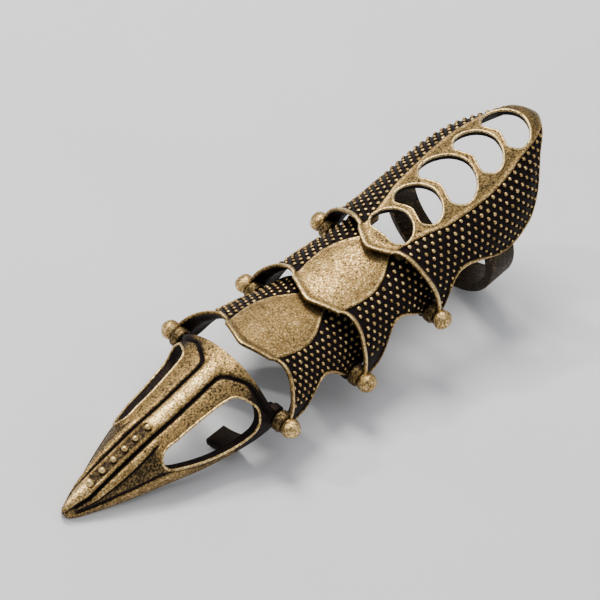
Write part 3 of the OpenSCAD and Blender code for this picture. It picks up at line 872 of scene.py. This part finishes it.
def knucklePlate():
    rows, wall, back = knuckle["rows"], knuckle["wall"], knuckle["back"]
    rowShares = spread([0, 0.06, 0.94, 1], [10, rows - 26, 16])

    def gridPlace(i, share):
        x = -back + (knuckleRimAt(share) + back) * rowShares[i]
        half, high, foot, panel, edge = knuckleSection(x)
        return x, angleAt(share, panel, edge, half), half, high, foot, panel, edge

    def outer(i, share, side):
        x, a, half, high, foot, panel, edge = gridPlace(i, share)
        rim = knuckleRimAt(share) - x
        lift, wear = relief((a - panel) * half, (edge - a) * half - pointBorder(x), rim, x + back - 1.3)
        wear -= knuckle["dull"] * climb((panel - a) * half, 0.3, 0.6) * climb(rim, 1.2, 0.8)
        return onSide(archPoint(x, a, half, high, foot, lift), side), wear

    def inner(i, share, side):
        x, a, half, high, foot, panel, edge = gridPlace(i, share)
        rim = knuckleRimAt(share) - x
        up = rimLift((a - panel) * half, rim) - thinner(rim, min(wall, 0.75 * half))
        return onSide(archPoint(x + wall * fall(x, -28, 2.7) * 0.6, a, half, high, foot, up), side)

    shell = castShell("knuckleCasting", rows, plateShares, outer, inner, atKnuckle)
    outlines = kidneyOutlines()
    cutOut(shell, [prism("kidney%d" % k, ring, atKnuckle, "Z", knuckle["crown"] * 0.5, knuckle["crown"] * 1.5)
                   for k, ring in enumerate(outlines)])
    lips = kidneyLips(outlines)
    spots = studSpots(knuckleSection, knuckleSurface, knuckleRimAt, lambda share: 1.4 - back,
                      -back + 1.9, 1.5, lambda x: 0.6 + pointBorder(x))
    studs = grains("knuckleStuds", spots, atKnuckle)
    bosses = hingeBoss(knuckle["half"], wall, 0, atKnuckle)
    piece = join("knuckleCasting", [shell, studs, ringBand()] + lips + bosses)
    finishPiece(piece, "knuckle_plate", "knuckle")
    print("knuckleCasting", len(spots), "studs", len(piece.data.polygons), "faces")


knucklePlate()


# claw
claw = {
    "length": 30.8,
    "half": 8.1,
    "crown": 6.8,
    "skirt": 2.6,
    "ridgeHalf": 1.2,
    "grooveWide": 0.5,
    "groove": 0.42,
    "mainBend": 1.7,
    "mainWide": 0.26,
    "sideWide": 0.2,
    "secondDeep": 0.3,
    "thirdDeep": 0.26,
    "webDeep": 0.2,
    "stripDeep": 0.34,
    "ridgeHigh": 0.32,
    "barHigh": 0.16,
    "hemHigh": 0.08,
    "collarHigh": 0.12,
    "wall": 1.1,
    "bandDrop": 5.8,
    "bandW": 3.5,
    "bandGap": 1.1,
    "bandHalf": 0.955,  # over half
    "bandTop": 0.62,  # over the skirt
    "bandThick": 0.95,  # over the wall
    "bandAt": 0.165,  # over the length, as collar and windowFrom
    "bandSteps": 40,
    "collar": 0.11,
    "windowFrom": 0.085,
    "windowLen": 14.6,
    "windowHigh": 6.2,
    "earHalf": 8.37,
    "beadWorn": 1.1,
    "rows": 200,
}
# length share, half width, crown, foot of the sides
clawTable = [[-0.06, 1.03, 1.03, 0.6], [0.02, 1.025, 1.01, 0.85], [0.08, 1.01, 0.96, 0.98],
             [0.15, 0.985, 0.89, 1], [0.24, 0.935, 0.8, 1], [0.39, 0.82, 0.65, 0.97],
             [0.53, 0.665, 0.56, 0.95], [0.7, 0.475, 0.39, 0.93], [0.84, 0.29, 0.23, 0.9],
             [0.94, 0.165, 0.11, 0.78], [0.985, 0.1, 0.04, 0.6], [1, 0.05, -0.03, 0.45]]
# share round the section, where its rear edge starts
clawBack = [[0, 0.04], [0.5, 0.04], [0.65, 0.03], [0.75, 0.005], [0.85, -0.03], [1, -0.05]]
# place over the window's length and height, once round
clawWindow = [[0.01, 0.45], [0, 0.68], [0.04, 0.86], [0.12, 0.985], [0.25, 0.965], [0.45, 0.875],
              [0.6, 0.8], [0.75, 0.73], [0.9, 0.665], [0.97, 0.58], [1, 0.46], [0.98, 0.33], [0.92, 0.23],
              [0.8, 0.16], [0.6, 0.06], [0.4, 0], [0.2, 0.03], [0.08, 0.12], [0.03, 0.28]]
# place along the claw, radius
ridgeBeads = [[0.515, 0.42], [0.587, 0.42], [0.65, 0.44], [0.715, 0.44], [0.78, 0.48], [0.855, 0.62]]


def clawSection(x):
    # half width, crown, foot, height of the widest line, angles of the ridge's edge and the groove's far edge
    t = x / claw["length"]
    half = claw["half"] * curveAt(clawTable, t, 1)
    crown = claw["crown"] * curveAt(clawTable, t, 2)
    foot = -claw["skirt"] * curveAt(clawTable, t, 3)
    widest = foot + (crown - foot) * 0.3
    ridge = math.asin(min(0.6, claw["ridgeHalf"] / half))
    groove = math.asin(min(0.8, (claw["ridgeHalf"] + claw["grooveWide"]) / half))
    return half, crown, foot, widest, ridge, groove


def clawAngle(share, ridge, groove):
    # an arch up to share 0.8, then the straight side
    return broken(share, [0, 0.15, 0.2, 0.25, 0.8, 1],
                  [0, ridge, (ridge + groove) / 2, groove, math.pi / 2, math.pi / 2])


def clawSurface(x, share, d):
    half, crown, foot, widest, ridge, groove = clawSection(x)
    p = archPoint(x, clawAngle(share, ridge, groove), half, crown - widest, widest, d)
    down = max(0, share - 0.8) / 0.2
    return Vector((p.x, p.y - 0.02 * half * down * down, p.z + (foot - widest) * down))


def mainGroove(x, s, edge, turn):
    # distance to the line that runs along the ridge at edge, and turns outward at turn
    bend = claw["mainBend"]
    u, v = x - turn - bend, s - edge - bend
    if u > 0:
        return min(abs(s - edge), abs(x - turn)) if v > 0 else abs(s - edge)
    return abs(math.hypot(u, v) - bend) if v <= 0 else abs(x - turn)


def clawRelief(x, start, share):
    # lift and wear of the claw x mm along it, where its rear edge is at start
    half, crown, foot, widest, ridgeAngle, grooveAngle = clawSection(x)
    s = half * clawAngle(share, ridgeAngle, grooveAngle)  # mm round from the ridge
    fade = fall(x, claw["length"] - 0.2, 2)
    edge = min(1.45 + 0.25 * fall(x, 9, 6), half * (ridgeAngle + grooveAngle) / 2)
    turn = start + 0.8 + 1.4 * fall(s, 5.5, 3.5)
    main = bulge(mainGroove(x, s, edge, turn) / claw["mainWide"])
    main *= (0.35 + 0.65 * fade) * (1 - climb(share, 0.7, 0.08))
    # two more grooves down the side, a hollow web between them, and round bars between the grooves
    # reach is how many mm round the section a share of 1 stands for
    reach = (math.pi / 2 - grooveAngle) * half / 0.55 if share < 0.8 else (widest - foot) / 0.2
    secondShare = 0.34 + (x - 16.5) * 0.0155
    thirdShare = 0.9 - 0.18 * climb(x, 11, 7)
    second = bulge((share - secondShare) * reach / claw["sideWide"]) * climb(x, 16, 1) * fade
    third = bulge((share - thirdShare) * reach / claw["sideWide"]) * climb(x, 7, 2) * fade
    third *= 0.3 + 0.7 * climb(x, 14, 4)
    web = rise((share - secondShare) * reach / 0.35) * rise((thirdShare - share) * reach / 0.35)
    web *= climb(x, 16.8, 0.8) * fade
    secondAt = half * clawAngle(secondShare, ridgeAngle, grooveAngle)
    bar = roundTop((2 * s - edge - secondAt) / max(0.3, secondAt - edge)) * climb(x, 15, 3) * fade
    hem = roundTop((2 * share - thirdShare - 1) / (1 - thirdShare)) * climb(x, 12, 5) * fade
    ridge = roundTop(s / edge) * climb(x, start + 1.2, 1.2)
    strip = fall(s, 0.85, 0.3) * climb(x, 15.3, 0.5) * fall(x, 26.9, 0.6)  # sunk under the beads
    collar = fall(x, turn - 0.25, 0.3)
    lift = claw["ridgeHigh"] * ridge + claw["collarHigh"] * collar * climb(s, edge, 0.4)
    lift += claw["barHigh"] * bar + claw["hemHigh"] * hem - claw["stripDeep"] * strip
    lift -= claw["groove"] * main + claw["secondDeep"] * second
    lift -= claw["thirdDeep"] * third + claw["webDeep"] * web
    # rubbed on what stands proud and towards the tip, dark in the grooves; darker down the rear sides and on
    # the ears, partly patina and partly painted shade
    wear = 0.59 + 0.22 * ridge + 0.1 * bar + 0.06 * hem + 0.1 * climb(x, 26.5, 1) * fall(s, edge, 0.4)
    wear -= 0.14 * climb(s, edge, 0.8) * fall(x, 16, 4) + 0.26 * web + 0.56 * strip
    # near black on the ears: patina and painted shade
    wear *= 1 - 0.85 * climb(s, 5, 3) * fall(x, 7.5, 3)
    wear *= 1 - 0.96 * min(1, main * 1.6)
    wear *= 1 - 0.9 * min(1, max(second, third) * 1.5)
    return lift, max(0.02, wear)


def smoothLoop(points):
    # a closed smooth curve through the points, four steps each
    count = len(points)
    ring = []
    for k in range(count):
        a, b, c, d = (points[(k + m) % count] for m in (-1, 0, 1, 2))
        for t in (0, 0.25, 0.5, 0.75):
            ring.append(tuple(0.5 * (2 * b[m] + (c[m] - a[m]) * t
                                     + (2 * a[m] - 5 * b[m] + 4 * c[m] - d[m]) * t * t
                                     + (3 * b[m] - a[m] - 3 * c[m] + d[m]) * t ** 3) for m in (0, 1)))
    return ring


def clawShareAt(x, z):
    # the share round the section where the claw's side is z high
    low, high = 0.0, 1.0
    for step in range(30):
        share = (low + high) / 2
        if clawSurface(x, share, 0).z > z:
            low = share
        else:
            high = share
    return share


def windowLips(ring):
    lips = []
    for side in (-1, 1):
        points, normals = [], []
        for x, z in ring:
            share = clawShareAt(x, z)
            normal = (clawSurface(x, share, 0.5) - clawSurface(x, share, 0)).normalized()
            points.append(onSide(clawSurface(x, share, -0.05), side))
            normals.append(onSide(normal, side))
        lips.append(lip("windowLip", points, normals, 0.18, atClaw, 0.86))
    return lips


def clawBeads():
    beads = []
    for share, radius in ridgeBeads:
        point = Vector((claw["length"] * share, 0, claw["crown"] * curveAt(clawTable, share, 2) + 0.14))
        bpy.ops.object.select_all(action="DESELECT")
        bpy.ops.mesh.primitive_uv_sphere_add(segments=24, ring_count=16, radius=radius * mm)
        bead = bpy.context.object
        bead.data.transform(atClaw @ Matrix.Translation(point * mm))
        setWorn(bead.data, [claw["beadWorn"]] * len(bead.data.vertices))
        beads.append(bead)
    return beads


def clawBand():
    # the split band beneath, one arm from each side
    half = claw["half"] * claw["bandHalf"]
    top = -claw["bandTop"] * claw["skirt"]
    deep = claw["bandDrop"] + top
    thick = claw["bandThick"] * claw["wall"]
    middle = claw["bandAt"] * claw["length"]
    stop = math.asin((half - thick / 2 - claw["bandGap"] / 2) / (half - thick / 2))
    arms = []
    for side in (-1, 1):
        stations = []
        for m in range(claw["bandSteps"] + 1):
            a = -0.12 + (stop + 0.12) * m / claw["bandSteps"]
            out = Vector((0, side * math.cos(a), -math.sin(a)))
            centre = Vector((middle, side * (half - thick / 2) * math.cos(a),
                             top - (deep - thick / 2) * math.sin(a)))
            stations.append((centre, Vector((side, 0, 0)), out))
        arms.append(sweep("clawBand", stations, roundBar(claw["bandW"], thick, 0.25), atClaw, 0.1))
    return arms


def clawCasting():
    rows, length = claw["rows"], claw["length"]
    collar = claw["collar"] * length
    shares = spread([0, 0.15, 0.25, 0.8, 1], [10, 12, 58, 18])
    rowShares = spread([0, 0.2, 0.9, 1], [34, rows - 54, 20])

    def gridPlace(i, share):
        start = length * curveAt(clawBack, share)
        u = rowShares[i]
        x = start + (collar - start) * u / 0.2 if u < 0.2 else collar + (length - collar) * (u - 0.2) / 0.8
        return x, start

    def outer(i, share, side):
        x, start = gridPlace(i, share)
        lift, wear = clawRelief(x, start, share)
        return onSide(clawSurface(x, share, lift), side), wear

    def inner(i, share, side):
        # hollow up to the solid tip
        x, start = gridPlace(i, share)
        half, crown, foot, widest, ridge, groove = clawSection(x)
        p = clawSurface(x, share, -min(claw["wall"], 0.6 * half))
        return Vector((p.x, side * p.y, p.z + (foot + 0.02 - p.z) * climb(x, 22, 3.5)))

    shell = castShell("clawCasting", rows, shares, outer, inner, atClaw, swell=0.1)
    ring = [(length * claw["windowFrom"] + claw["windowLen"] * a, claw["windowHigh"] * (b - 0.2))
            for a, b in smoothLoop(clawWindow)]
    cutOut(shell, [prism("windowCut", ring, atClaw, "Y", -16, 16)])
    bosses = hingeBoss(claw["earHalf"], claw["wall"], 0, atClaw, 0.1)
    piece = join("clawCasting", [shell] + windowLips(ring) + clawBeads() + clawBand() + bosses)
    finishPiece(piece, "claw", "fingertip")
    print("clawCasting", len(piece.data.polygons), "faces")


clawCasting()


# rivets
rivet = {
    "ball": 2.6,
    "flat": 0.36,  # where the ball is cut flat towards the casting, over its diameter
    "shank": 1.3,
    "root": 2.3,
    "tail": 2.3,
    "tailHigh": 0.5,
    "soft": 0.15,
    "endGap": 0.08,
    "nestGap": 0.16,
    "dent": 0.13,
    "dentsPerMm": 0.8,
    "shrink": 0.02,
    "full": 1.07,
    "worn": (0.8, 0.1, 0.42, 0.08),  # ball, shank, root, tail; the root is kept darker than the ball as painted shade beside it
}


def ballRivet(name, half, inside, place, side, node, body, seed):
    seat = half + boss["proud"] + rivet["endGap"]
    lift = seat + rivet["flat"] * rivet["ball"]
    tail = inside - rivet["endGap"]
    bpy.ops.object.select_all(action="DESELECT")
    bpy.ops.mesh.primitive_uv_sphere_add(segments=40, ring_count=24, radius=rivet["ball"] / 2 * mm,
                                         rotation=(math.pi / 2, 0, 0))
    ball = bpy.context.object
    bpy.ops.object.transform_apply(rotation=True)
    flat = rivet["flat"] * rivet["ball"]
    for v in ball.data.vertices:
        p = v.co / mm
        uneven = noise.noise(p * rivet["dentsPerMm"] + Vector((seed, 3 * seed, 0)))
        p += p.normalized() * (uneven * rivet["dent"] - rivet["shrink"])
        p.x *= rivet["full"]
        p.z *= rivet["full"]
        p.y = max(p.y, -flat) if side > 0 else min(p.y, flat)
        v.co = (p + Vector((0, side * lift, 0))) * mm
    pieces = [ball]
    rods = (("shank", tail, lift), ("root", seat, lift), ("tail", tail - rivet["tailHigh"], tail))
    for key, low, high in rods:
        pieces.append(turnedRod(rivet[key] / 2, low, high, side, corners=32, soft=rivet["soft"], softSteps=2))
    for piece, wear in zip(pieces, rivet["worn"]):
        piece.data.transform(place)
        setWorn(piece.data, [wear] * len(piece.data.vertices))
    finishPiece(join(name, pieces), node, body)


def bossInside(half):
    return half - plate["wall"] - boss["inward"]


def nestedHalf(half):
    # half width of the casting that turns inside one of this half width
    return bossInside(half) - rivet["nestGap"] - boss["proud"]


for number, (word, half, place, body) in enumerate((
        ("claw", plate["front"]["frontHalf"], atFront, "front"),
        ("middle", plate["rear"]["frontHalf"], atRear, "rear"),
        ("knuckle", knuckle["half"], atKnuckle, "knuckle"))):
    for side, hand in ((-1, "left"), (1, "right")):
        ballRivet(word + "Rivet" + hand.title(), half, bossInside(nestedHalf(half)), place, side,
                  "%s_rivet_%s" % (word, hand), body, number * 2 + side)
print("rivets")
